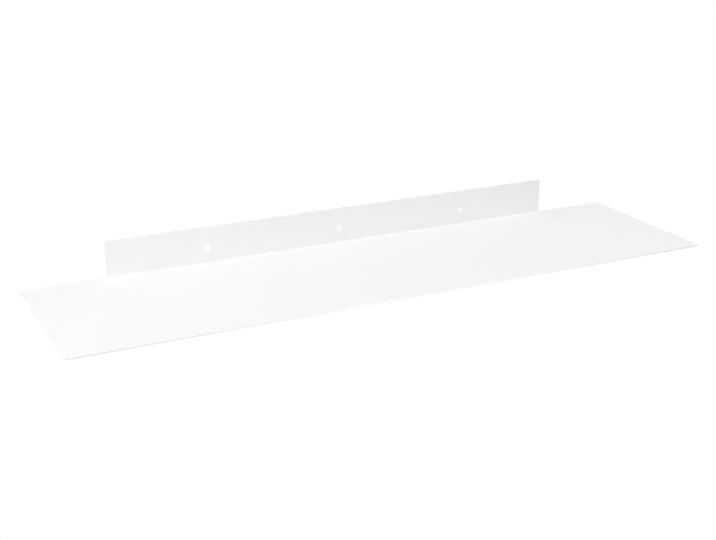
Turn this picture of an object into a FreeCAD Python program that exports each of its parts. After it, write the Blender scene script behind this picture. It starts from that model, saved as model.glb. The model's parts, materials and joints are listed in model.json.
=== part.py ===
"""A floating wall shelf: one steel sheet, cut as a wide T and folded up along its back edge, with the screws
and plugs that hang it.

The origin is on the wall's face, at the middle screw. +X runs along the shelf, +Y goes into the wall and +Z
is up. Lengths are millimetres.
"""

import FreeCAD
import Part
import Sketcher

import os
from types import SimpleNamespace

DRIVING_SIZES = (
    ("shelf_length", 800, "plate, end to end along the wall"),
    ("shelf_depth", 210, "plate, from the wall to its front edge"),
    ("sheet_thickness", 1.5, "the one sheet that plate and flange are folded from"),
    ("bend_radius", 2, "inside radius of the fold"),
    ("flange_length", 600, "wall flange, centred on the plate"),
    ("flange_height", 47, "underside of the plate to the flange's top edge"),
    ("plate_corner_radius", 3, "four corners of the plate"),
    ("flange_corner_radius", 3, "two top corners of the flange"),
    ("relief_width", 2, "notch at each end of the fold"),
    ("relief_margin", 1.5, "how far the notch runs past the fold into the plate"),
    ("hole_diameter", 6.5, "screw holes in the flange"),
    ("hole_pitch", 175, "screw to screw"),
    ("hole_height", 20, "underside of the plate to the line of the screws"),
    ("screw_diameter", 4, "over the thread"),
    ("screw_length", 35, "below the head"),
    ("screw_tip_length", 5, "pointed end"),
    ("head_diameter", 8, "low pan head"),
    ("head_height", 2, "low pan head"),
    ("head_bevel", 0.9, "sloped rim of the pan head"),
    ("recess_span", 3.6, "cross recess, tip to tip of two arms"),
    ("recess_arm_width", 0.9, "one arm of the cross recess"),
    ("recess_depth", 1.1, "cross recess"),
    ("plug_diameter", 6, "drill size in the wall"),
    ("plug_length", 30, "mouth to nose"),
    ("plug_nose_length", 3, "tapered end"),
    ("plug_nose_diameter", 5, "at the very end"),
    ("plug_clearance", 0.05, "screw to plug, on the radius"),
    ("plug_slot_width", 0.8, "slots that let the plug spread"),
    ("plug_slot_length", 20, "slots, from the nose"),
    ("barb_start", 10.5, "mouth of the plug to its first barb"),
    ("barb_pitch", 4, "barb to barb"),
    ("barb_length", 3, "sloped flank of one barb"),
    ("barb_depth", 0.35, "step that one barb catches with"),
    ("cut_overrun", 1, "how far a cut starts outside the material"),
)
BARB_COUNT = 4
SLOT_COUNT = 2
SCREW_PLACES = {"left": -1, "centre": 0, "right": 1}
FULL_TURN = 360
QUARTER_TURN = 90
SAME_PLACE = 1e-6

# How a sketch numbers its own axes, and the points of a line, arc or circle in it.
LEVEL_AXIS_INDEX = -1
UPRIGHT_AXIS_INDEX = -2
START_INDEX = 1
END_INDEX = 2
CENTRE_INDEX = 3
SKETCH_ORIGIN = (LEVEL_AXIS_INDEX, START_INDEX)
UPRIGHT = FreeCAD.Vector(0, 0, 1)


class Size:
    """A length worked out from the sheet: its value now, and the expression that keeps it up to date."""

    def __init__(self, value, text):
        self.value = value
        self.text = text

    def __add__(self, other):
        return Size(self.value + other.value, f"({self.text} + {other.text})")

    def __sub__(self, other):
        return Size(self.value - other.value, f"({self.text} - {other.text})")

    def __neg__(self):
        return Size(-self.value, f"(0 - {self.text})")

    def __mul__(self, times):
        return Size(self.value * times, f"({self.text} * {times})")

    def __truediv__(self, parts):
        return Size(self.value / parts, f"({self.text} / {parts})")


ZERO = Size(0, "0")

doc = FreeCAD.newDocument("wall_shelf")
sheet = doc.addObject("Spreadsheet::Sheet", "sizes")
size = SimpleNamespace()
for row, (name, value, meaning) in enumerate(DRIVING_SIZES, start=1):
    sheet.set(f"A{row}", name)
    sheet.set(f"B{row}", str(value))
    sheet.set(f"C{row}", meaning)
    sheet.setAlias(f"B{row}", name)
    setattr(size, name, Size(value, f"sizes.{name}"))
doc.recompute()


def origin_feature(body, role):
    """One of a body's own origin planes or axes, by its role."""
    return next(item for item in body.Origin.OriginFeatures if item.Role == role)


def sketch_on(body, name, plane, lift=ZERO):
    """An empty sketch on one of the body's origin planes, lifted along the plane's normal."""
    sketch = body.newObject("Sketcher::SketchObject", name)
    sketch.AttachmentSupport = (origin_feature(body, plane), "")
    sketch.MapMode = "FlatFace"
    sketch.setExpression("AttachmentOffset.Base.z", lift.text)
    return sketch


def dimension(sketch, kind, first, second, length):
    """A dimension along one axis from the first point to the second, each as (geometry, point)."""
    index = sketch.addConstraint(Sketcher.Constraint(kind, *first, *second, length.value))
    sketch.setExpression(f"Constraints[{index}]", length.text)


def pin_point(sketch, point, across, up):
    """Holds a point at a place measured from the sketch's origin, on an axis where that place is zero."""
    places = (("DistanceX", across, UPRIGHT_AXIS_INDEX), ("DistanceY", up, LEVEL_AXIS_INDEX))
    for kind, length, axis in places:
        if length.value > 0:
            dimension(sketch, kind, SKETCH_ORIGIN, point, length)
        elif length.value < 0:
            dimension(sketch, kind, point, SKETCH_ORIGIN, -length)
        else:
            sketch.addConstraint(Sketcher.Constraint("PointOnObject", *point, axis))


def closed_outline(sketch, corners):
    """A closed outline of straight lines through the corners, each (across, up) from the sketch's origin."""
    places = [FreeCAD.Vector(across.value, up.value, 0) for across, up in corners]
    following = places[1:] + places[:1]
    lines = [
        sketch.addGeometry(Part.LineSegment(start, end), False)
        for start, end in zip(places, following)
    ]
    for line, after in zip(lines, lines[1:] + lines[:1]):
        sketch.addConstraint(Sketcher.Constraint("Coincident", line, END_INDEX, after, START_INDEX))
    for line, (across, up) in zip(lines, corners):
        pin_point(sketch, (line, START_INDEX), across, up)


def round_hole(sketch, across, up, diameter):
    """A circle with its centre measured from the sketch's origin."""
    centre = FreeCAD.Vector(across.value, up.value, 0)
    circle = sketch.addGeometry(Part.Circle(centre, UPRIGHT, diameter.value / 2), False)
    pin_point(sketch, (circle, CENTRE_INDEX), across, up)
    index = sketch.addConstraint(Sketcher.Constraint("Diameter", circle, diameter.value))
    sketch.setExpression(f"Constraints[{index}]", diameter.text)


def round_ended_slot(sketch, side, width, end, mouth):
    """A slot from its open mouth down to a round end. side is the slot's left edge, end its arc's centre."""
    left, right = side.value, (side + width).value
    centre = FreeCAD.Vector((side + width / 2).value, end.value, 0)
    circle = Part.Circle(centre, UPRIGHT, width.value / 2)
    start_angle, end_angle = circle.parameter(FreeCAD.Vector(left, end.value, 0)), 0
    left_top, left_end = FreeCAD.Vector(left, mouth.value, 0), FreeCAD.Vector(left, end.value, 0)
    right_top, right_end = FreeCAD.Vector(right, mouth.value, 0), FreeCAD.Vector(right, end.value, 0)
    down = sketch.addGeometry(Part.LineSegment(left_top, left_end), False)
    arc = sketch.addGeometry(Part.ArcOfCircle(circle, start_angle, end_angle), False)
    rise = sketch.addGeometry(Part.LineSegment(right_end, right_top), False)
    across = sketch.addGeometry(Part.LineSegment(right_top, left_top), False)
    sketch.addConstraint(
        [
            Sketcher.Constraint("Tangent", down, END_INDEX, arc, START_INDEX),
            Sketcher.Constraint("Tangent", arc, END_INDEX, rise, START_INDEX),
            Sketcher.Constraint("Coincident", rise, END_INDEX, across, START_INDEX),
            Sketcher.Constraint("Coincident", across, END_INDEX, down, START_INDEX),
            Sketcher.Constraint("Vertical", down),
            Sketcher.Constraint("Vertical", rise),
            Sketcher.Constraint("Horizontal", across),
        ]
    )
    pin_point(sketch, (down, START_INDEX), side, mouth)
    dimension(sketch, "DistanceX", (down, START_INDEX), (rise, END_INDEX), width)
    dimension(sketch, "DistanceY", (arc, CENTRE_INDEX), SKETCH_ORIGIN, -end)


def feature(body, kind, name, **settings):
    """Adds a feature to a body. A setting that is a Size stays bound to the sheet."""
    made = body.newObject(f"PartDesign::{kind}", name)
    for setting, value in settings.items():
        if isinstance(value, Size):
            made.setExpression(setting, value.text)
        else:
            setattr(made, setting, value)
    body.Tip = made
    doc.recompute()
    return made


def cut(body, kind, name, **settings):
    """A feature that has to take material away."""
    before = body.Tip.Shape.Volume
    made = feature(body, kind, name, **settings)
    if not made.Shape.Volume < before:
        raise RuntimeError(f"{name} removes nothing from {body.Label}")
    return made


def round_edges(body, name, middles, radius):
    """Rounds the edges whose middles are at the given places in the body."""
    base = body.Tip
    wanted = [FreeCAD.Vector(x.value, y.value, z.value) for x, y, z in middles]
    found = [
        f"Edge{number}"
        for number, edge in enumerate(base.Shape.Edges, start=1)
        if any(edge.CenterOfMass.isEqual(place, SAME_PLACE) for place in wanted)
    ]
    if len(found) != len(wanted):
        raise RuntimeError(f"{name} finds {len(found)} edges of {len(wanted)}")
    return feature(body, "Fillet", name, Base=(base, found), Radius=radius)


def place(body, across=ZERO, into_wall=ZERO, up=ZERO):
    """Sets a body in the shelf's frame."""
    for axis, length in (("x", across), ("y", into_wall), ("z", up)):
        body.setExpression(f"Placement.Base.{axis}", length.text)


def shelf_sheet():
    """Plate and wall flange, one sheet. The plate's underside at the wall is the body's own origin."""
    body = doc.addObject("PartDesign::Body", "shelf_sheet")
    half_length = size.shelf_length / 2
    half_flange = size.flange_length / 2
    outside_radius = size.bend_radius + size.sheet_thickness

    plate = sketch_on(body, "plate_outline", "XY_Plane")
    closed_outline(
        plate,
        (
            (-half_length, -size.shelf_depth),
            (half_length, -size.shelf_depth),
            (half_length, ZERO),
            (half_flange, ZERO),
            (half_flange, -outside_radius),
            (-half_flange, -outside_radius),
            (-half_flange, ZERO),
            (-half_length, ZERO),
        ),
    )
    feature(body, "Pad", "plate", Profile=plate, Length=size.sheet_thickness)

    fold = sketch_on(body, "fold_profile", "YZ_Plane")
    closed_outline(
        fold,
        (
            (-outside_radius, ZERO),
            (ZERO, ZERO),
            (ZERO, size.flange_height),
            (-size.sheet_thickness, size.flange_height),
            (-size.sheet_thickness, size.sheet_thickness),
            (-outside_radius, size.sheet_thickness),
        ),
    )
    feature(body, "Pad", "flange", Profile=fold, SideType="Symmetric", Length=size.flange_length)

    slot = sketch_on(body, "relief_slot", "XY_Plane")
    arc_centre = outside_radius + size.relief_margin - size.relief_width / 2
    round_ended_slot(slot, half_flange, size.relief_width, -arc_centre, size.cut_overrun)
    relief = cut(body, "Pocket", "relief", Profile=slot, Type="ThroughAll", SideType="Symmetric")
    middle_plane = (origin_feature(body, "YZ_Plane"), [""])
    cut(body, "Mirrored", "relief_mirrored", Originals=[relief], MirrorPlane=middle_plane)

    inside_edge = (ZERO, -size.sheet_thickness, size.sheet_thickness)
    round_edges(body, "inside_bend", [inside_edge], size.bend_radius)
    round_edges(body, "outside_bend", [(ZERO, ZERO, ZERO)], outside_radius)

    circle = sketch_on(body, "screw_hole_circle", "XZ_Plane")
    round_hole(circle, -size.hole_pitch, size.hole_height, size.hole_diameter)
    hole = cut(body, "Pocket", "screw_hole", Profile=circle, Type="ThroughAll", SideType="Symmetric")
    cut(
        body,
        "LinearPattern",
        "screw_holes",
        Originals=[hole],
        Direction=(origin_feature(body, "X_Axis"), [""]),
        Mode="Spacing",
        Offset=size.hole_pitch,
        Occurrences=len(SCREW_PLACES),
    )

    half_sheet = size.sheet_thickness / 2
    plate_corners = [
        (end, edge, half_sheet)
        for end in (-half_length, half_length)
        for edge in (-size.shelf_depth, ZERO)
    ]
    round_edges(body, "plate_corners", plate_corners, size.plate_corner_radius)
    flange_corners = [(end, -half_sheet, size.flange_height) for end in (-half_flange, half_flange)]
    round_edges(body, "flange_corners", flange_corners, size.flange_corner_radius)
    place(body, up=-size.hole_height)
    return body


def wall_screw(name, step):
    """Pan-head screw with a cross recess. The head's bearing face is the body's own origin."""
    body = doc.addObject("PartDesign::Body", f"wall_screw_{name}")
    head_radius = size.head_diameter / 2
    shank_radius = size.screw_diameter / 2

    profile = sketch_on(body, f"screw_profile_{name}", "YZ_Plane")
    closed_outline(
        profile,
        (
            (-size.head_height, ZERO),
            (size.screw_length, ZERO),
            (size.screw_length - size.screw_tip_length, shank_radius),
            (ZERO, shank_radius),
            (ZERO, head_radius),
            (size.head_bevel - size.head_height, head_radius),
            (-size.head_height, head_radius - size.head_bevel),
        ),
    )
    axis = (profile, ["H_Axis"])
    feature(body, "Revolution", f"screw_{name}", Profile=profile, ReferenceAxis=axis, Angle=FULL_TURN)

    reach = size.recess_span / 2
    arm = size.recess_arm_width / 2
    cross = sketch_on(body, f"cross_{name}", "XZ_Plane", lift=size.head_height)
    closed_outline(
        cross,
        (
            (reach, arm),
            (arm, arm),
            (arm, reach),
            (-arm, reach),
            (-arm, arm),
            (-reach, arm),
            (-reach, -arm),
            (-arm, -arm),
            (-arm, -reach),
            (arm, -reach),
            (arm, -arm),
            (reach, -arm),
        ),
    )
    cut(body, "Pocket", f"recess_{name}", Profile=cross, Length=size.recess_depth)
    place(body, across=size.hole_pitch * step, into_wall=-size.sheet_thickness)
    return body


def wall_plug(name, step):
    """Nylon plug with barbs and two crossing slots. The middle of its mouth is the body's own origin."""
    body = doc.addObject("PartDesign::Body", f"wall_plug_{name}")
    radius = size.plug_diameter / 2
    bore_radius = size.screw_diameter / 2 + size.plug_clearance

    profile = sketch_on(body, f"plug_profile_{name}", "YZ_Plane")
    closed_outline(
        profile,
        (
            (ZERO, bore_radius),
            (size.plug_length, bore_radius),
            (size.plug_length, size.plug_nose_diameter / 2),
            (size.plug_length - size.plug_nose_length, radius),
            (ZERO, radius),
        ),
    )
    axis = (profile, ["H_Axis"])
    feature(body, "Revolution", f"plug_{name}", Profile=profile, ReferenceAxis=axis, Angle=FULL_TURN)

    # A barb's steep step faces the mouth, so that the plug goes in easily and holds against a pull.
    step_outline = sketch_on(body, f"barb_step_{name}", "YZ_Plane")
    barb_end = size.barb_start + size.barb_length
    outside = radius + size.cut_overrun
    closed_outline(
        step_outline,
        (
            (size.barb_start, radius),
            (barb_end, radius - size.barb_depth),
            (barb_end, outside),
            (size.barb_start, outside),
        ),
    )
    axis = (step_outline, ["H_Axis"])
    barb = cut(body, "Groove", f"barb_{name}", Profile=step_outline, ReferenceAxis=axis, Angle=FULL_TURN)
    cut(
        body,
        "LinearPattern",
        f"barbs_{name}",
        Originals=[barb],
        Direction=(origin_feature(body, "Y_Axis"), [""]),
        Mode="Spacing",
        Offset=size.barb_pitch,
        Occurrences=BARB_COUNT,
    )

    slot_outline = sketch_on(body, f"slot_outline_{name}", "XY_Plane")
    half_slot = size.plug_slot_width / 2
    slot_start = size.plug_length - size.plug_slot_length
    slot_end = size.plug_length + size.cut_overrun
    closed_outline(
        slot_outline,
        (
            (-half_slot, slot_start),
            (half_slot, slot_start),
            (half_slot, slot_end),
            (-half_slot, slot_end),
        ),
    )
    slot = cut(
        body, "Pocket", f"slot_{name}", Profile=slot_outline, Type="ThroughAll", SideType="Symmetric"
    )
    cut(
        body,
        "PolarPattern",
        f"slots_{name}",
        Originals=[slot],
        Axis=(origin_feature(body, "Y_Axis"), [""]),
        Angle=QUARTER_TURN,
        Occurrences=SLOT_COUNT,
    )
    place(body, across=size.hole_pitch * step)
    return body


bodies = [shelf_sheet()]
for name, step in SCREW_PLACES.items():
    bodies.append(wall_screw(name, step))
    bodies.append(wall_plug(name, step))
doc.recompute()

for item in doc.Objects:
    if {"Invalid", "Error"} & set(item.State):
        raise RuntimeError(f"{item.Label} failed: {item.State}")
for body in bodies:
    if body.Shape.isNull() or not body.Shape.isValid() or len(body.Shape.Solids) != 1:
        raise RuntimeError(f"{body.Label} is not one valid solid")

os.makedirs("parts", exist_ok=True)
for body in bodies:
    body.Shape.exportStep(f"parts/{body.Label}.step")
    box = body.Shape.BoundBox
    spans = f"{box.XLength:.2f} x {box.YLength:.2f} x {box.ZLength:.2f}"
    print(f"{body.Label}: {body.Shape.Volume:.1f} mm3, {spans}")
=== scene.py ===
import json
import math

import bpy
import numpy as np
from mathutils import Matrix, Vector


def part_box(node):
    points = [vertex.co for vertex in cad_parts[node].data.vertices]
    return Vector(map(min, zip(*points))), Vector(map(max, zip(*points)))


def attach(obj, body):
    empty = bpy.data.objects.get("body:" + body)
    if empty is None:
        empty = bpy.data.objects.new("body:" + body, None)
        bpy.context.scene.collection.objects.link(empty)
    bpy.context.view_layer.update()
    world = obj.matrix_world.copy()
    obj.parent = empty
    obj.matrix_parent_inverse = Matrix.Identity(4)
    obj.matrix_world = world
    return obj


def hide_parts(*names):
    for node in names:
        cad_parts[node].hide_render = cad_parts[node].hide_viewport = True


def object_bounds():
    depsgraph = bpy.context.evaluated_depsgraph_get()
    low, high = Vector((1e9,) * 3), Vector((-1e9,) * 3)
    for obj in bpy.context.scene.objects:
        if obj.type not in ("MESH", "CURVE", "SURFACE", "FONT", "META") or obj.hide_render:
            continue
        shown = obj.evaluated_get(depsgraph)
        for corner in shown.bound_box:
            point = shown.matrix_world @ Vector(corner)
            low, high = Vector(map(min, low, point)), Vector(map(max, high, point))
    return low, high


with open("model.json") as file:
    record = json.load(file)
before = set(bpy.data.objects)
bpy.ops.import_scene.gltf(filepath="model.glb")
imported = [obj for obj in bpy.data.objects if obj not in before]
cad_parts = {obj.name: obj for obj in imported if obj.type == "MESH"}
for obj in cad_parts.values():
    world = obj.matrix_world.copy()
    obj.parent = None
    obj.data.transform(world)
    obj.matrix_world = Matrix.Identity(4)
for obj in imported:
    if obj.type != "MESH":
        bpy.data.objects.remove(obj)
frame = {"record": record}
cad_low, cad_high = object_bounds()

# Shelf sheet: the whole shelf is one sheet of steel, cut by laser as a wide T with three screw holes and two
# small relief notches, folded up along its back edge and then powder coated white. The coating is baked on
# after the folding, so it runs over every cut edge and rounds it a little.
sheet_low, sheet_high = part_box("shelf_sheet")
HALF_LENGTH = sheet_high.x
FRONT_EDGE = sheet_low.y
UNDERSIDE = sheet_low.z
FLANGE_TOP = sheet_high.z
THICKNESS = 0.0015
INSIDE_RADIUS = 0.002
HALF_FLANGE = 0.3
CORNER_RADIUS = 0.003
# an ear is the plate's small corner beside a notch
EAR_RADIUS = 0.0005
NOTCH_WIDTH = 0.002
NOTCH_MARGIN = 0.0015
HOLE_RADIUS = 0.00325
COATED_EDGE = 0.00025

OUTSIDE_RADIUS = INSIDE_RADIUS + THICKNESS
MIDDLE_RADIUS = INSIDE_RADIUS + THICKNESS / 2
FOLD_START = -OUTSIDE_RADIUS
FOLD_LENGTH = MIDDLE_RADIUS * math.pi / 2
FOLD_END = FOLD_START + FOLD_LENGTH
FOLD_AXIS_HEIGHT = UNDERSIDE + OUTSIDE_RADIUS
FLANGE_EDGE = FOLD_END + FLANGE_TOP - FOLD_AXIS_HEIGHT
NOTCH_CENTRE = FOLD_START - NOTCH_MARGIN + NOTCH_WIDTH / 2

SCREW_MOUNTS = [mount for mount in frame["record"]["mounts"] if mount["kind"] == "pin"]
SCREW_PLACES = sorted(mount["pos_m"][0] for mount in SCREW_MOUNTS)
HOLE_LINE = FOLD_END - FOLD_AXIS_HEIGHT

CORNER_PATCH = 0.004
NOTCH_PATCH = 0.005
HOLE_PATCH = 0.008
LONGEST_STEP = 0.03
CORNER_STEPS = 8
CORNER_STRAIGHT_STEPS = 2
EAR_STRAIGHT_STEPS = 5
NOTCH_STEPS = 5
HOLE_STEPS = 10
HOLE_RINGS = 5
FOLD_STEPS = 16
EDGE_STEPS = 5
SAME_POINT = 1e-9

WHITE_TONES = ((0.856, 0.862, 0.862, 1), (0.876, 0.882, 0.882, 1))
SATIN_ROUGHNESS = (0.4, 0.5)
PEEL_PER_METRE = 700.0
PEEL_OCTAVES = 1.0
PEEL_FADE = 0.4
PEEL_HEIGHT = 0.00005
DRIFT_PER_METRE = 14.0
DRIFT_OCTAVES = 3.0
# the gloss varies in wider lumps than the peel, and this is their count for each lump of the peel
GLOSS_SHARE = 0.3
GLOSS_OCTAVES = 2.0


def even_steps(start, end):
    """Lines from start to end, evenly spaced, no further apart than the longest step."""
    return np.linspace(start, end, 1 + math.ceil((end - start) / LONGEST_STEP))


def join_lines(*runs):
    """One run of lines out of several that each start where the last one ended."""
    return np.concatenate([runs[0]] + [run[1:] for run in runs[1:]])


def flat_patch(across, back):
    """A rectangular patch: every across line crossed with every back line."""
    return np.stack(np.meshgrid(across, back), axis=-1)


def corner_patch(inner, outer, radius, straight_steps):
    """A patch with one rounded corner. Its two outer sides run straight, then turn an eighth of a circle and
    meet in the middle of the rounding. A point inside is what its two sides give, each in proportion to how
    near that side is, less the share of the corner that both have counted."""
    reach = np.abs(np.subtract(outer, inner))
    turn = np.linspace(0, np.pi / 4, CORNER_STEPS - straight_steps + 1)[1:]
    run = np.linspace(0, 1, straight_steps + 1)
    drawn_in = np.concatenate([0 * run, radius * (1 - np.cos(turn))])
    along = [np.concatenate([run * (e - radius), e - radius + radius * np.sin(turn)]) for e in reach]
    share = np.linspace(0, 1, CORNER_STEPS + 1)
    p, q = np.meshgrid(share, share)
    inset_u, inset_v = np.meshgrid(drawn_in, drawn_in)
    along_u, along_v = np.meshgrid(along[0], along[1])
    corner_u, corner_v = reach - drawn_in[-1]
    u = q * along_u + p * (reach[0] - inset_v) - p * q * corner_u
    v = p * along_v + q * (reach[1] - inset_u) - p * q * corner_v
    return np.asarray(inner) + np.sign(np.subtract(outer, inner)) * np.stack([u, v], axis=-1)


def hole_patch(centre, radius):
    """A square patch with a round hole. Its rings are straight blends from the square's outline to the
    circle, both walked round from the square's first corner in equal steps."""
    side = np.linspace(-1, 1, HOLE_STEPS + 1)[:-1]
    end = np.ones(HOLE_STEPS)
    square = np.concatenate(
        [np.stack(pair, axis=1) for pair in ((side, -end), (end, side), (-side, end), (-end, -side))]
    )
    square = HOLE_PATCH * np.concatenate([square, square[:1]])
    first_corner = np.arctan2(-1, -1)
    angle = first_corner + np.linspace(0, 2 * np.pi, len(square))
    circle = radius * np.stack([np.cos(angle), np.sin(angle)], axis=1)
    blend = np.linspace(0, 1, HOLE_RINGS + 1)[:, None, None]
    return np.asarray(centre) + square + blend * (circle - square)


def notch_patch(centre, radius):
    """A patch round the closed end of a notch: rings from a box's two sides and floor to a half circle."""
    side = np.linspace(0, 1, NOTCH_STEPS + 1)
    floor = np.linspace(-1, 1, 2 * NOTCH_STEPS + 1)
    across = np.concatenate([0 * side - 1, floor[1:-1], 0 * side + 1])
    back = np.concatenate([-side, 0 * floor[1:-1] - 1, side - 1])
    box = NOTCH_PATCH * np.stack([across, back], axis=1)
    angle = np.linspace(np.pi, 2 * np.pi, len(box))
    half_circle = radius * np.stack([np.cos(angle), np.sin(angle)], axis=1)
    blend = np.linspace(0, 1, CORNER_STEPS + 1)[:, None, None]
    return np.asarray(centre) + box + blend * (half_circle - box)


def blank(inset):
    """The flat T as patches of (across, back) points, with its whole outline and its holes drawn in by the
    inset. Across runs along the shelf, and back runs over the plate and then up the flange, along the middle
    layer of the sheet. With the inset, points on the outline move straight in from their edge, and those in
    the border next to it move less, the further in they lie."""
    end, front = HALF_LENGTH - inset, FRONT_EDGE + inset
    flange_end, flange_edge = HALF_FLANGE - inset, FLANGE_EDGE - inset
    ear = HALF_FLANGE + NOTCH_WIDTH + inset
    notch_middle = HALF_FLANGE + NOTCH_WIDTH / 2
    notch_left, notch_right = notch_middle - NOTCH_PATCH, notch_middle + NOTCH_PATCH
    notch_floor = NOTCH_CENTRE - NOTCH_PATCH
    side, near = HALF_LENGTH - CORNER_PATCH, FRONT_EDGE + CORNER_PATCH
    crown = FLANGE_EDGE - CORNER_PATCH
    hole_low, hole_high = HOLE_LINE - HOLE_PATCH, HOLE_LINE + HOLE_PATCH

    hole_runs = [np.linspace(x - HOLE_PATCH, x + HOLE_PATCH, HOLE_STEPS + 1) for x in SCREW_PLACES]
    gap_ends = [-notch_left] + [edge for run in hole_runs for edge in (run[0], run[-1])] + [notch_left]
    gap_runs = [even_steps(a, b) for a, b in zip(gap_ends[::2], gap_ends[1::2])]
    mixed_runs = [run for pair in zip(gap_runs, hole_runs) for run in pair] + gap_runs[-1:]
    middle = join_lines(*mixed_runs)
    notch_run = np.linspace(notch_left, notch_right, 2 * NOTCH_STEPS + 1)
    side_run = even_steps(notch_right, side)
    end_run = np.linspace(side, end, CORNER_STEPS + 1)
    flange_side = np.linspace(notch_left, flange_end, CORNER_STEPS + 1)
    outer_right = join_lines(notch_run, side_run)

    front_rows = np.linspace(front, near, CORNER_STEPS + 1)
    plate_rows = even_steps(near, notch_floor)
    notch_rows = np.linspace(notch_floor, NOTCH_CENTRE, NOTCH_STEPS + 1)
    ear_rows = np.linspace(NOTCH_CENTRE, -inset, CORNER_STEPS + 1)
    fold_rows = np.linspace(FOLD_START, FOLD_END, FOLD_STEPS + 1)
    foot_rows = join_lines(np.array([NOTCH_CENTRE, FOLD_START]), fold_rows, even_steps(FOLD_END, hole_low))
    hole_rows = np.linspace(hole_low, hole_high, HOLE_STEPS + 1)
    upper_rows = even_steps(hole_high, crown)
    crown_rows = np.linspace(crown, flange_edge, CORNER_STEPS + 1)
    plate_and_front = join_lines(front_rows, plate_rows)

    middle_patches = [
        flat_patch(middle, join_lines(plate_and_front, notch_rows, foot_rows)),
        flat_patch(middle, join_lines(upper_rows, crown_rows)),
        *[flat_patch(run, hole_rows) for run in gap_runs],
        *[hole_patch((x, HOLE_LINE), HOLE_RADIUS + inset) for x in SCREW_PLACES],
    ]
    right_patches = [
        flat_patch(outer_right, plate_and_front),
        flat_patch(side_run, join_lines(notch_rows, ear_rows)),
        flat_patch(end_run, join_lines(plate_rows, notch_rows)),
        flat_patch(flange_side, join_lines(foot_rows, hole_rows, upper_rows)),
        notch_patch((notch_middle, NOTCH_CENTRE), NOTCH_WIDTH / 2 + inset),
        corner_patch((side, near), (end, front), CORNER_RADIUS - inset, CORNER_STRAIGHT_STEPS),
        corner_patch((side, NOTCH_CENTRE), (end, -inset), CORNER_RADIUS - inset, CORNER_STRAIGHT_STEPS),
        corner_patch((notch_right, NOTCH_CENTRE), (ear, -inset), EAR_RADIUS - inset, EAR_STRAIGHT_STEPS),
        corner_patch(
            (notch_left, crown), (flange_end, flange_edge), CORNER_RADIUS - inset, CORNER_STRAIGHT_STEPS
        ),
    ]
    return middle_patches + right_patches + [patch * (-1, 1) for patch in right_patches]


def grid_quads(rows, columns):
    """Quads of a grid of points stored row by row."""
    point = np.arange(rows * columns).reshape(rows, columns)
    around = (point[:-1, :-1], point[:-1, 1:], point[1:, 1:], point[1:, :-1])
    return np.stack(around, axis=-1).reshape(-1, 4)


def joined_quads(patches):
    """Quads of all patches, with the points that patches share counted once and every quad turned the same
    way round, and for each point that is kept its place in the patches' own list."""
    starts = np.cumsum([0] + [patch.shape[0] * patch.shape[1] for patch in patches[:-1]])
    quads = np.concatenate([grid_quads(*patch.shape[:2]) + start for patch, start in zip(patches, starts)])
    points = np.concatenate([patch.reshape(-1, 2) for patch in patches])
    keys = np.round(points / SAME_POINT)
    _, kept, shared = np.unique(keys, axis=0, return_index=True, return_inverse=True)
    quads = shared.reshape(-1)[quads]
    corner = points[kept][quads]
    first, second = corner[:, 2] - corner[:, 0], corner[:, 3] - corner[:, 1]
    area = first[:, 0] * second[:, 1] - first[:, 1] * second[:, 0]
    return np.where(area[:, None] > 0, quads, quads[:, ::-1]), kept


def outline_edges(quads):
    """Edges that only one quad uses, each in the direction that its quad runs."""
    edges = quads[:, [[0, 1], [1, 2], [2, 3], [3, 0]]].reshape(-1, 2)
    _, place, count = np.unique(np.sort(edges, axis=1), axis=0, return_index=True, return_counts=True)
    return edges[place[count == 1]]


def rim_strips(edges, rows):
    """Quads that join a surface's outline to the next rows of points, each row stepping on from the last."""
    start, end = edges.T
    steps = zip(rows[:-1], rows[1:])
    return np.concatenate([np.stack([a[end], a[start], b[start], b[end]], axis=1) for a, b in steps])


def fold(points, above):
    """Carries points of the flat blank onto the folded sheet, at a height above its middle layer. Past the
    start of the fold the flange's points go round the fold's axis, by an angle of their distance over the
    middle layer's radius, up to a quarter turn, and from there straight up. Also gives the angle."""
    across, back = points.T
    on_flange = np.abs(across) < HALF_FLANGE + NOTCH_WIDTH / 2
    past = np.where(on_flange, np.maximum(back - FOLD_START, 0), 0)
    angle = np.minimum(past / MIDDLE_RADIUS, np.pi / 2)
    radius = MIDDLE_RADIUS - above
    y = back - past + radius * np.sin(angle)
    z = FOLD_AXIS_HEIGHT - radius * np.cos(angle) + np.maximum(past - FOLD_LENGTH, 0)
    return np.stack([across, y, z], axis=1), angle


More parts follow.
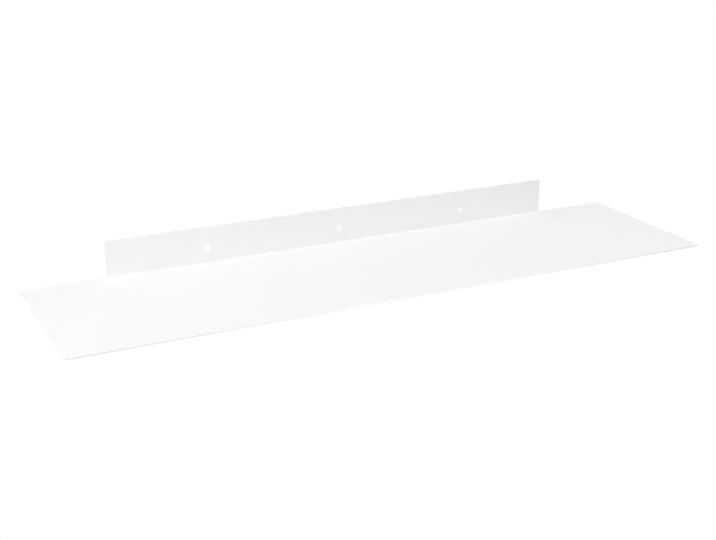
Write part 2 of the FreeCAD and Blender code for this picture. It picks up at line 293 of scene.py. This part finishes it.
def folded_sheet():
    """Points, quads and normals of the coated sheet. Two skins lie half a thickness from the middle layer.
    The edge between them is a strip of rings: a quarter round, a flat band and another quarter round, where
    each ring is the outline drawn in by what the quarter round takes away at that height."""
    quads, kept = joined_quads(blank(0))
    edges = outline_edges(quads)
    rim, edges = np.unique(edges, return_inverse=True)
    edges = edges.reshape(-1, 2)

    def drawn_in(inset):
        return np.concatenate([patch.reshape(-1, 2) for patch in blank(inset)])[kept]

    skin = drawn_in(COATED_EDGE)
    outward = (drawn_in(0)[rim] - skin[rim]) / COATED_EDGE
    band = THICKNESS / 2 - COATED_EDGE
    quarter = np.linspace(0, np.pi / 2, EDGE_STEPS + 1)
    slopes = np.concatenate([quarter[1:], quarter[:-1] + np.pi / 2])
    lifts = np.where(np.arange(len(slopes)) < EDGE_STEPS, band, -band) + COATED_EDGE * np.cos(slopes)

    upper, angle = fold(skin, THICKNESS / 2)
    lower, _ = fold(skin, -THICKNESS / 2)
    level = 0 * angle
    upright = np.stack([level, -np.sin(angle), np.cos(angle)], axis=1)
    rise = np.stack([level, np.cos(angle), np.sin(angle)], axis=1)[rim]
    sideways = outward[:, :1] * (1, 0, 0) + outward[:, 1:] * rise
    rings = [fold(drawn_in(COATED_EDGE * (1 - math.sin(s)))[rim], lift)[0] for s, lift in zip(slopes, lifts)]
    ring_normals = [math.cos(s) * upright[rim] + math.sin(s) * sideways for s in slopes]

    count, rim_count = len(skin), len(rim)
    ring_starts = 2 * count + rim_count * np.arange(len(rings))
    rows = [rim] + [start + np.arange(rim_count) for start in ring_starts] + [count + rim]
    points = np.concatenate([upper, lower] + rings)
    normals = np.concatenate([upright, -upright] + ring_normals)
    return points, np.concatenate([quads, quads[:, ::-1] + count, rim_strips(edges, rows)]), normals


def new_piece(name, points, faces):
    """A mesh object at the origin, with its place in its mesh and its faces smooth."""
    mesh = bpy.data.meshes.new(name)
    mesh.from_pydata(points.tolist(), [], faces, shade_flat=False)
    piece = bpy.data.objects.new(name, mesh)
    bpy.context.scene.collection.objects.link(piece)
    return piece


def new_material(name):
    """A material with its node tree, its shader and the Object coordinates that its patterns follow."""
    material = bpy.data.materials.new(name)
    material.use_nodes = True
    tree = material.node_tree
    place = tree.nodes.new("ShaderNodeTexCoord").outputs["Object"]
    return material, tree, tree.nodes["Principled BSDF"], place


def give(tree, socket, value):
    """Sets a socket to a plain value, or links it to the socket that feeds it."""
    if isinstance(value, bpy.types.NodeSocket):
        tree.links.new(value, socket)
    else:
        socket.default_value = value


def feed(tree, node, **inputs):
    """Gives a node's inputs, by name, their values or the sockets that feed them."""
    for name, value in inputs.items():
        give(tree, node.inputs[name.replace("_", " ")], value)


def add_node(tree, kind, settings=(), **inputs):
    """A shader node with its settings and its inputs."""
    node = tree.nodes.new(kind)
    for name, value in dict(settings).items():
        setattr(node, name, value)
    feed(tree, node, **inputs)
    return node


def work_out(tree, operation, first, second):
    """What a maths operation makes of two values."""
    node = add_node(tree, "ShaderNodeMath", {"operation": operation})
    give(tree, node.inputs[0], first)
    give(tree, node.inputs[1], second)
    return node.outputs["Value"]


def noise(tree, place, count, octaves, **inputs):
    """Soft lumps as values from 0 to 1, a count of them to the metre, with finer octaves on top."""
    lumps = add_node(tree, "ShaderNodeTexNoise", Vector=place, Scale=count, Detail=octaves, **inputs)
    return lumps.outputs["Fac"]


def blend_tones(tree, share, low, high):
    """A colour from low to high, by a share that changes over the surface."""
    mix = add_node(tree, "ShaderNodeMix", {"data_type": "RGBA"}, Factor=share, A=low, B=high)
    return mix.outputs["Result"]


def spread(tree, share, low, high):
    """A value from low to high, by a share that changes over the surface."""
    return add_node(tree, "ShaderNodeMapRange", Value=share, To_Min=low, To_Max=high).outputs["Result"]


def raise_surface(tree, share, height):
    """The normals of a surface that stands up by a share of a height in metres."""
    return add_node(tree, "ShaderNodeBump", Height=share, Distance=height).outputs["Normal"]


def coating_group():
    """Powder coating as baked: the orange peel of the melted grains as a height, and how its tone and gloss
    drift over the surface, as values from 0 to 1."""
    group = bpy.data.node_groups.new("powder_coating", "ShaderNodeTree")
    for name, kind in (("Place", "Vector"), ("Peel Count", "Float"), ("Drift Count", "Float")):
        group.interface.new_socket(name, in_out="INPUT", socket_type=f"NodeSocket{kind}")
    for name in ("Height", "Tone", "Gloss"):
        group.interface.new_socket(name, in_out="OUTPUT", socket_type="NodeSocketFloat")
    given = group.nodes.new("NodeGroupInput").outputs
    place, peel_count = given["Place"], given["Peel Count"]
    gloss_count = work_out(group, "MULTIPLY", peel_count, GLOSS_SHARE)
    feed(
        group,
        group.nodes.new("NodeGroupOutput"),
        Height=noise(group, place, peel_count, PEEL_OCTAVES, Roughness=PEEL_FADE),
        Tone=noise(group, place, given["Drift Count"], DRIFT_OCTAVES),
        Gloss=noise(group, place, gloss_count, GLOSS_OCTAVES),
    )
    return group


POWDER_COATING = coating_group()


def coat(tree, shader, place, tones, roughness, peel_count, peel_height):
    """Feeds a shader from the powder coating group: tone, gloss and orange peel."""
    coating = add_node(
        tree,
        "ShaderNodeGroup",
        {"node_tree": POWDER_COATING},
        Place=place,
        Peel_Count=peel_count,
        Drift_Count=DRIFT_PER_METRE,
    ).outputs
    feed(
        tree,
        shader,
        Base_Color=blend_tones(tree, coating["Tone"], *tones),
        Roughness=spread(tree, coating["Gloss"], *roughness),
        Normal=raise_surface(tree, coating["Height"], peel_height),
    )


white_coating, tree, shader, place = new_material("white_coating")
coat(tree, shader, place, WHITE_TONES, SATIN_ROUGHNESS, PEEL_PER_METRE, PEEL_HEIGHT)

points, quads, normals = folded_sheet()
sheet = new_piece("coated_shelf_sheet", points, quads.tolist())
sheet.data.normals_split_custom_set_from_vertices(normals.tolist())
sheet.data.materials.append(white_coating)
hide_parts("shelf_sheet")
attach(sheet, "root")

# Wall plugs: light grey nylon, moulded in one shot and pushed flush into holes drilled in the wall. Two slots
# cross at the nose and run most of the way back, so that the screw spreads four barbed legs. The steep side
# of each barb looks back to the mouth and grips the hole against a pull.
SIDES = ("left", "centre", "right")
_, plug_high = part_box("wall_plug_centre")
PLUG_RADIUS = plug_high.x
PLUG_LENGTH = plug_high.y
BORE_RADIUS = 0.00205
MOUTH_CHAMFER = 0.0002
NOSE_START = 0.027
NOSE_RADIUS = 0.0025
SLOT_START = 0.01
HALF_SLOT = 0.0004
BARB_COUNT = 4
FIRST_BARB = 0.0105
BARB_PITCH = 0.004
BARB_LENGTH = 0.003
BARB_DEPTH = 0.00035
BARB_DRAFT = 0.00005
LEG_COUNT = 4
LEG_TURN = 2 * math.pi / LEG_COUNT
LEG_STEPS = 11
CREASE = math.radians(30)

PLUG_TONES = ((0.58, 0.59, 0.605, 1), (0.65, 0.66, 0.67, 1))
PLUG_ROUGHNESS = (0.42, 0.58)
FLOW_PER_METRE = 260.0
FLOW_OCTAVES = 2.0
FLOW_SWIRL = 1.0
MOULD_GRAIN_PER_METRE = 6000.0
MOULD_GRAIN_OCTAVES = 1.0
MOULD_GRAIN_HEIGHT = 0.00001


def plug_shell(x):
    """Points and quads of a plug about an axis into the wall. Its outside is a profile of radius against
    depth, turned round the axis, and its inside is the bore. Each leg's points are spread evenly between two
    slots, whose edges stand off from the slot's middle by the angle whose sine is half the slot over the
    radius, so that a slot's walls are parallel. The quads across the slots are left out, and a rim joins the
    skins."""
    barb = np.array([(0, 0), (BARB_LENGTH, -BARB_DEPTH), (BARB_LENGTH + BARB_DRAFT, 0)])
    barb_starts = FIRST_BARB + BARB_PITCH * np.arange(BARB_COUNT)
    barbs = barb_starts[:, None, None] * (1, 0) + barb
    mouth = [(0, -MOUTH_CHAMFER), (MOUTH_CHAMFER, 0), (SLOT_START, 0)]
    nose = [(NOSE_START, 0), (PLUG_LENGTH, NOSE_RADIUS - PLUG_RADIUS)]
    profile = np.concatenate([mouth, barbs.reshape(-1, 2), nose])
    depth, outer = profile[:, :1], PLUG_RADIUS + profile[:, 1:]
    inner = BORE_RADIUS + np.maximum(MOUTH_CHAMFER - depth, 0)
    leg, step = np.divmod(np.arange(LEG_COUNT * (LEG_STEPS + 1)), LEG_STEPS + 1)

    def skin(radius):
        edge = np.arcsin(HALF_SLOT / radius)
        angle = LEG_TURN * leg + edge + (LEG_TURN - 2 * edge) * step / LEG_STEPS
        turned = [x + radius * np.cos(angle), depth + 0 * angle, radius * np.sin(angle)]
        return np.stack(turned, axis=-1).reshape(-1, 3)

    count = len(depth) * len(leg)
    point = np.arange(count).reshape(len(depth), len(leg))
    after = np.roll(point, -1, axis=1)
    quads = np.stack([point[:-1], point[1:], after[1:], after[:-1]], axis=-1)
    quads = quads[(step < LEG_STEPS) | (depth[:-1] < SLOT_START)]
    rim = rim_strips(outline_edges(quads), [np.arange(count), count + np.arange(count)])
    return np.concatenate([skin(outer), skin(inner)]), np.concatenate([quads, quads[:, ::-1] + count, rim])


# moulded nylon has slow flow marks in its tone, and the fine grain of the mould in its gloss and height
plug_nylon, tree, shader, place = new_material("plug_nylon")
flow = noise(tree, place, FLOW_PER_METRE, FLOW_OCTAVES, Distortion=FLOW_SWIRL)
grain = noise(tree, place, MOULD_GRAIN_PER_METRE, MOULD_GRAIN_OCTAVES)
feed(
    tree,
    shader,
    Base_Color=blend_tones(tree, flow, *PLUG_TONES),
    Roughness=spread(tree, grain, *PLUG_ROUGHNESS),
    Normal=raise_surface(tree, grain, MOULD_GRAIN_HEIGHT),
)

for side, x in zip(SIDES, SCREW_PLACES):
    points, quads = plug_shell(x)
    plug = new_piece(f"nylon_plug_{side}", points, quads.tolist())
    plug.data.set_sharp_from_angle(angle=CREASE)
    plug.data.materials.append(plug_nylon)
    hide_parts(f"wall_plug_{side}")
    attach(plug, "root")

# Wall screws: steel pan-head screws, zinc plated, with the cross recess struck into the head and the thread
# rolled on. The head is painted white, and the paint has run into the recess and made it shallower. Each goes
# through a hole of the flange into its plug, and its head holds the flange against the wall.
screw_low, screw_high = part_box("wall_screw_centre")
HEAD_RADIUS = screw_high.x
HEAD_FRONT = screw_low.y
SCREW_POINT = screw_high.y
BEARING_FACE = -THICKNESS
HEAD_ROUNDING = 0.0012
ROUNDING_STEPS = 4
HEAD_EDGE = 0.00012
# strips of painted faces from the front's outline round to the neck
HEAD_STRIPS = 3
RECESS_DEPTH = 0.0004
RECESS_HALF_ARM = 0.00045
RECESS_HALF_FLOOR = 0.0003
RECESS_REACH = 0.0018
RECESS_FLOOR_REACH = 0.0011
THREAD_RADIUS = 0.002
CORE_RADIUS = 0.00135
NECK_FILLET = 0.0003
NECK_LENGTH = 0.0025
THREAD_PITCH = 0.0018
THREAD_HALF_FOOT = 0.0005
THREAD_ROWS = 16
POINT_LENGTH = 0.005
POINT_FLAT = 0.0002

PAINT_TONES = ((0.945, 0.946, 0.947, 1), (0.955, 0.956, 0.957, 1))
PAINT_ROUGHNESS = (0.3, 0.4)
PAINT_PEEL_PER_METRE = 2500.0
PAINT_PEEL_HEIGHT = 0.000006
ZINC_TONES = ((0.62, 0.64, 0.67, 1), (0.74, 0.75, 0.77, 1))
ZINC_ROUGHNESS = (0.28, 0.42)
SPANGLE_PER_METRE = 1800.0
SPANGLE_OCTAVES = 3.0


def screw_head(x):
    """Points of a pan head's front, as a square grid drawn out to a disc: each share of the way across is
    cut by the root of one less half the square of the share up, and the other way round. The front is flat
    out to where the rounding starts, and then falls back as a quarter circle. The cross recess sinks by
    whichever arm is deeper there, and an arm by the lesser of its slopes from the side and from the end."""
    turn = np.linspace(0, np.pi / 2, ROUNDING_STEPS + 1)
    recess_lines = [0, RECESS_HALF_FLOOR, RECESS_HALF_ARM, RECESS_FLOOR_REACH, RECESS_REACH]
    half = np.concatenate([recess_lines, HEAD_RADIUS - HEAD_ROUNDING * (1 - np.sin(turn))])
    lines = np.concatenate([-half[:0:-1], half])
    across, up = np.meshgrid(lines, lines)
    disc_x = across * np.sqrt(1 - (up / HEAD_RADIUS) ** 2 / 2)
    disc_z = up * np.sqrt(1 - (across / HEAD_RADIUS) ** 2 / 2)
    past = np.maximum(np.hypot(disc_x, disc_z) - HEAD_RADIUS + HEAD_ROUNDING, 0)
    fall = HEAD_ROUNDING - np.sqrt(np.maximum(HEAD_ROUNDING**2 - past**2, 0))

    def arm(along, beside):
        end = (RECESS_REACH - np.abs(along)) / (RECESS_REACH - RECESS_FLOOR_REACH)
        side = (RECESS_HALF_ARM - np.abs(beside)) / (RECESS_HALF_ARM - RECESS_HALF_FLOOR)
        return RECESS_DEPTH * np.clip(np.minimum(end, side), 0, 1)

    sunk = np.maximum(arm(across, up), arm(up, across))
    return np.stack([x + disc_x, HEAD_FRONT + fall + sunk, disc_z], axis=-1)


def head_triangles(count):
    """Triangles of a square grid of count points a side. Each quad is split along the diagonal that runs out
    from the grid's middle, because two walls of the recess meet there. In two of the four quarters that is
    the quad's other diagonal, so its corners are counted from the next one."""
    quads = grid_quads(count, count).reshape(count - 1, count - 1, 4)
    from_middle = np.arange(count - 1) - (count - 2) / 2
    other = np.multiply.outer(from_middle, from_middle) < 0
    quads = np.where(other[..., None], np.roll(quads, 1, axis=2), quads).reshape(-1, 4)
    return quads[:, [[0, 1, 2], [0, 2, 3]]].reshape(-1, 3)


def screw_rings(x, angle):
    """Rings of points from the head's rim to the screw's point. Below the neck, a point stands off the core
    by how near it is to the thread's crest, which climbs one pitch into the wall for each turn clockwise, as
    seen from the head. Core and thread both shrink evenly to the point."""
    neck = THREAD_RADIUS + NECK_FILLET
    head = np.array(
        [
            (HEAD_RADIUS, BEARING_FACE - HEAD_EDGE),
            (HEAD_RADIUS - HEAD_EDGE, BEARING_FACE),
            (neck, BEARING_FACE),
            (CORE_RADIUS, BEARING_FACE + NECK_FILLET),
        ]
    )
    thread_start = BEARING_FACE + NECK_LENGTH / 2
    depth = np.arange(thread_start, SCREW_POINT - POINT_FLAT, THREAD_PITCH / THREAD_ROWS)[:, None]
    turns = depth / THREAD_PITCH + angle / (2 * np.pi)
    from_crest = THREAD_PITCH * np.abs(turns % 1 - 0.5)
    ridge = np.clip(1 - from_crest / THREAD_HALF_FOOT, 0, 1)
    run_in = np.clip((depth - thread_start) / NECK_LENGTH, 0, 1)
    taper = np.clip((SCREW_POINT - depth) / POINT_LENGTH, 0, 1)
    shank = taper * (CORE_RADIUS + run_in * ridge * (THREAD_RADIUS - CORE_RADIUS))
    radius = np.concatenate([head[:, :1] + 0 * angle, shank])
    depth = np.concatenate([head[:, 1:], depth]) + 0 * angle
    return np.stack([x + radius * np.cos(angle), depth, radius * np.sin(angle)], axis=-1)


def screw_surface(x):
    """Points, faces and the number of head faces of one screw: the front's grid, rings that step on from its
    outline, and a fan that closes the last ring at the point."""
    front = screw_head(x)
    place = np.arange(front.shape[0] * front.shape[1]).reshape(front.shape[:2])
    rim = np.concatenate([place[0, :-1], place[:-1, -1], place[-1, :0:-1], place[:0:-1, 0]])
    rim_points = front.reshape(-1, 3)[rim]
    rings = screw_rings(x, np.arctan2(rim_points[:, 2], rim_points[:, 0] - x))
    ring_places = place.size + np.arange(rings.shape[0] * rings.shape[1]).reshape(rings.shape[:2])
    rows = np.concatenate([rim[None], ring_places])
    after = np.roll(rows, -1, axis=1)
    sides = np.stack([rows[:-1], rows[1:], after[1:], after[:-1]], axis=-1).reshape(-1, 4)
    tip = place.size + ring_places.size
    fan = np.stack([rows[-1], np.full(len(rim), tip), after[-1]], axis=-1)
    points = np.concatenate([front.reshape(-1, 3), rings.reshape(-1, 3), [(x, SCREW_POINT, 0)]])
    head = head_triangles(len(front))
    faces = head.tolist() + sides.tolist() + fan.tolist()
    return points, faces, len(head) + HEAD_STRIPS * len(rim)


head_paint, tree, shader, place = new_material("white_head_paint")
coat(tree, shader, place, PAINT_TONES, PAINT_ROUGHNESS, PAINT_PEEL_PER_METRE, PAINT_PEEL_HEIGHT)

# zinc plating has a fine spangle in its tone and in its gloss
zinc_plating, tree, shader, place = new_material("zinc_plating")
spangle = noise(tree, place, SPANGLE_PER_METRE, SPANGLE_OCTAVES)
feed(
    tree,
    shader,
    Base_Color=blend_tones(tree, spangle, *ZINC_TONES),
    Roughness=spread(tree, spangle, *ZINC_ROUGHNESS),
    Metallic=1.0,
)

for side, x in zip(SIDES, SCREW_PLACES):
    points, faces, head_faces = screw_surface(x)
    screw = new_piece(f"pan_head_screw_{side}", points, faces)
    screw.data.set_sharp_from_angle(angle=CREASE)
    screw.data.materials.append(head_paint)
    screw.data.materials.append(zinc_plating)
    below_head = np.arange(len(faces)) >= head_faces
    screw.data.polygons.foreach_set("material_index", below_head.astype(np.int32))
    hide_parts(f"wall_screw_{side}")
    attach(screw, "root")

# Stage: a floor far below the shelf and a surround, both plain white to the camera. Soft light comes from
# overhead, from behind and from the left and front, as in a product photograph, and two small cards below the
# shelf's level light its front edge and its left end.
FLOOR_HEIGHT = -2.2
FLOOR_HALF = 40.0
FLOOR_GREY = 0.8
SURROUND_LIGHT = 0.35


def white_to_camera(tree, lit):
    """A shader that is plain white to the camera and in reflections, and lit as given for all other light."""
    path = tree.nodes.new("ShaderNodeLightPath").outputs
    reflected = work_out(tree, "MAXIMUM", path["Is Glossy Ray"], path["Is Transmission Ray"])
    seen = work_out(tree, "MAXIMUM", path["Is Camera Ray"], reflected)
    white = add_node(tree, "ShaderNodeEmission", Color=(1, 1, 1, 1), Strength=1.0)
    mix = tree.nodes.new("ShaderNodeMixShader")
    for socket, value in zip(mix.inputs, (seen, lit, white.outputs[0])):
        give(tree, socket, value)
    return mix.outputs[0]


floor = new_piece(
    "floor",
    FLOOR_HALF * np.array([(-1, -1, 0), (1, -1, 0), (1, 1, 0), (-1, 1, 0)]) + (0, 0, FLOOR_HEIGHT),
    [(0, 1, 2, 3)],
)
floor_paint = bpy.data.materials.new("floor_paint")
floor_paint.use_nodes = True
# the white is only there to be seen, straight or reflected, so the floor isn't sampled as a lamp
floor_paint.cycles.emission_sampling = "NONE"
tree = floor_paint.node_tree
tree.nodes.clear()
matt = add_node(tree, "ShaderNodeBsdfDiffuse", Color=(FLOOR_GREY, FLOOR_GREY, FLOOR_GREY, 1))
add_node(tree, "ShaderNodeOutputMaterial", Surface=white_to_camera(tree, matt.outputs[0]))
floor.data.materials.append(floor_paint)

world = bpy.data.worlds.new("surround")
world.use_nodes = True
tree = world.node_tree
tree.nodes.clear()
soft = add_node(tree, "ShaderNodeBackground", Color=(1, 1, 1, 1), Strength=SURROUND_LIGHT)
add_node(tree, "ShaderNodeOutputWorld", Surface=white_to_camera(tree, soft.outputs[0]))
bpy.context.scene.world = world

# each lamp's place and side in metres, and its power in watts
SOFTBOXES = {
    "overhead_left": ((-0.8, -0.3, 2.2), 1.4, 19.1),
    "overhead_right": ((1.3, -0.6, 1.6), 0.8, 10.3),
    "back_left": ((-1.5, 1.5, 2.0), 1.6, 13.4),
    "back_low": ((0.4, 2.4, -1.1), 1.2, 20.0),
    "front_left": ((-1.6, -2.4, 0.6), 1.6, 23.5),
    "front_low": ((0.0, -2.6, -0.6), 1.6, 6.0),
    "left_near": ((-1.3, -0.7, 1.0), 0.8, 3.7),
    "front_card": ((0.07, -0.56, -0.145), 0.12, 0.42),
    "left_card": ((-1.1, -0.1, -0.26), 0.2, 1.7),
}


def softbox(name, place, side, power):
    """A square soft light, turned to face the shelf."""
    lamp = bpy.data.lights.new(name, "AREA")
    lamp.shape = "SQUARE"
    lamp.size = side
    lamp.energy = power
    holder = bpy.data.objects.new(name, lamp)
    holder.visible_camera = False
    holder.location = place
    aim = (cad_low + cad_high) / 2 - holder.location
    holder.rotation_euler = aim.to_track_quat("-Z", "Y").to_euler()
    bpy.context.scene.collection.objects.link(holder)


for name, (place, side, power) in SOFTBOXES.items():
    softbox(name, place, side, power)

# Camera: stands in front of the shelf's left end, a little above it, turned to the right and down, with the
# whole shelf in view. Its lens is given as a focal length in pixels of a picture of the width below.
CAMERA_PLACE = (-0.6277, -1.3265, 0.4709)
CAMERA_TURN = math.radians(26.2363)
CAMERA_DOWN = math.radians(19.7601)
SENSOR_WIDTH = 36.0
IMAGE_WIDTH = 716
FOCAL_PIXELS = 1221.41

camera = bpy.data.objects.new("camera", bpy.data.cameras.new("camera"))
camera.data.sensor_fit = "HORIZONTAL"
camera.data.sensor_width = SENSOR_WIDTH
camera.data.lens = SENSOR_WIDTH * FOCAL_PIXELS / IMAGE_WIDTH
camera.location = CAMERA_PLACE
camera.rotation_euler = (math.pi / 2 - CAMERA_DOWN, 0, -CAMERA_TURN)
bpy.context.scene.collection.objects.link(camera)
bpy.context.scene.camera = camera
bpy.context.scene.view_settings.view_transform = "Standard"
